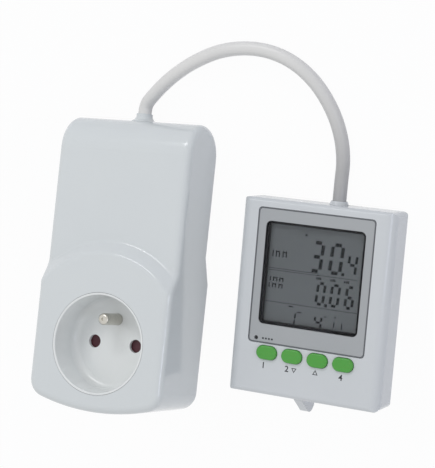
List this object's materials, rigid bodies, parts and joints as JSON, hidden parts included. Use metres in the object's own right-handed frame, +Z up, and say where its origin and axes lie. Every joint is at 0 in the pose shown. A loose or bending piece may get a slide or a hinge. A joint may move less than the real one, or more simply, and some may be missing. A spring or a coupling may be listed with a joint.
{
  "type": "energy monitor",
  "caption": "Plug-in socket adapter with a meter inside, joined by a short cord to a small display unit with a window, keys and a kickstand.",
  "frame": {"origin": "middle of the footprint of both units on the table they lie on, at table height", "axes": "+X from the adapter towards the display, +Y towards the top ends that the cord comes out of, +Z up from the table"},
  "size_m": [0.1422, 0.1563, 0.0752],
  "materials": {
    "housing_grey": "satin moulded",
    "socket_grey": "satin moulded",
    "display_grey": "satin moulded",
    "shutter_maroon": "satin",
    "nickel": "bright nickel plate",
    "contact_brass": "plain",
    "steel": "plain",
    "board_green": "solder mask",
    "carrier_black": "satin",
    "chip_black": "matte",
    "transformer_yellow": "taped",
    "capacitor_yellow": "matte",
    "can_aluminium": "sleeved",
    "varistor_blue": "dipped",
    "shunt_copper": "plain",
    "connector_white": "satin",
    "cord_grey": "soft sheath",
    "plate_silver": "fine satin",
    "window_clear": "clear",
    "frame_dark": "satin",
    "lcd": "reflective cell",
    "reflector": "satin foil",
    "zebra_rubber": "matte",
    "key_green": "satin silicone",
    "cell_steel": "bright"
  },
  "bodies": {
    "case": {"adapter_front_shell": "housing_grey", "adapter_gland": "cord_grey", "adapter_rear_shell": "housing_grey", "adapter_screws": "steel", "backup_cell": "cell_steel", "cell_clip": "steel", "contact_carrier": "carrier_black", "contact_left": "contact_brass", "contact_right": "contact_brass", "cord": "cord_grey", "cord_tail_display": "cord_grey", "cord_tail_meter": "cord_grey", "display_board": "board_green", "display_collar": "cord_grey", "display_front_shell": "display_grey", "display_plug": "connector_white", "display_rear_shell": "display_grey", "display_screws": "steel", "driver_chip": "chip_black", "earth_clips": "nickel", "earth_link": "contact_brass", "earth_pin": "nickel", "earth_sleeve": "nickel", "feed_strap_left": "contact_brass", "feed_strap_right": "contact_brass", "fuse": "connector_white", "key_switches": "carrier_black", "kickstand_pin": "steel", "lcd_frame": "frame_dark", "lcd_glass": "lcd", "lcd_reflector": "reflector", "mains_capacitor": "capacitor_yellow", "meter_board": "board_green", "meter_chip": "chip_black", "meter_clamp": "carrier_black", "meter_plug": "connector_white", "plug_body": "socket_grey", "plug_pin_left": "nickel", "plug_pin_right": "nickel", "reset_switch": "carrier_black", "shunt": "shunt_copper", "shutter_spring": "steel", "silver_plate": "plate_silver", "smoothing_capacitor": "can_aluminium", "socket_insert": "socket_grey", "transformer": "transformer_yellow", "varistor": "varistor_blue", "window_lens": "window_clear", "zebra_strips": "zebra_rubber"},
    "key_1": {"key_1": "key_green"},
    "key_2": {"key_2": "key_green"},
    "key_3": {"key_3": "key_green"},
    "key_4": {"key_4": "key_green"},
    "kickstand": {"kickstand": "display_grey"},
    "reset_plunger": {"reset_plunger": "frame_dark"},
    "socket_shutter": {"socket_shutter": "shutter_maroon"}
  },
  "joints": [
    {"name": "kickstand_hinge", "type": "hinge", "parent": "case", "child": "kickstand", "pos_m": [0.03182, -0.04257, 0.02813], "axis": [0.9995, -0.0323, 0], "range_deg": [0, 104.93]},
    {"name": "key_1_press", "type": "slide", "parent": "case", "child": "key_1", "axis": [-0.0107, -0.3328, -0.9429], "range_m": [0, 0.0007], "stiffness_N_per_m": 300, "springref_m": -0.001},
    {"name": "key_2_press", "type": "slide", "parent": "case", "child": "key_2", "axis": [-0.0107, -0.3328, -0.9429], "range_m": [0, 0.0007], "stiffness_N_per_m": 300, "springref_m": -0.001},
    {"name": "key_3_press", "type": "slide", "parent": "case", "child": "key_3", "axis": [-0.0107, -0.3328, -0.9429], "range_m": [0, 0.0007], "stiffness_N_per_m": 300, "springref_m": -0.001},
    {"name": "key_4_press", "type": "slide", "parent": "case", "child": "key_4", "axis": [-0.0107, -0.3328, -0.9429], "range_m": [0, 0.0007], "stiffness_N_per_m": 300, "springref_m": -0.001},
    {"name": "reset_press", "type": "slide", "parent": "case", "child": "reset_plunger", "axis": [-0.0107, -0.3328, -0.9429], "range_m": [0, 0.0004], "stiffness_N_per_m": 300, "springref_m": -0.001},
    {"name": "shutter_turn", "type": "hinge", "parent": "case", "child": "socket_shutter", "pos_m": [-0.0408, -0.0233, 0.04886], "axis": [0, 0.4368, 0.8996], "range_deg": [0, 44], "stiffness_Nm_per_rad": 0.001, "springref_deg": -17.19}
  ]
}
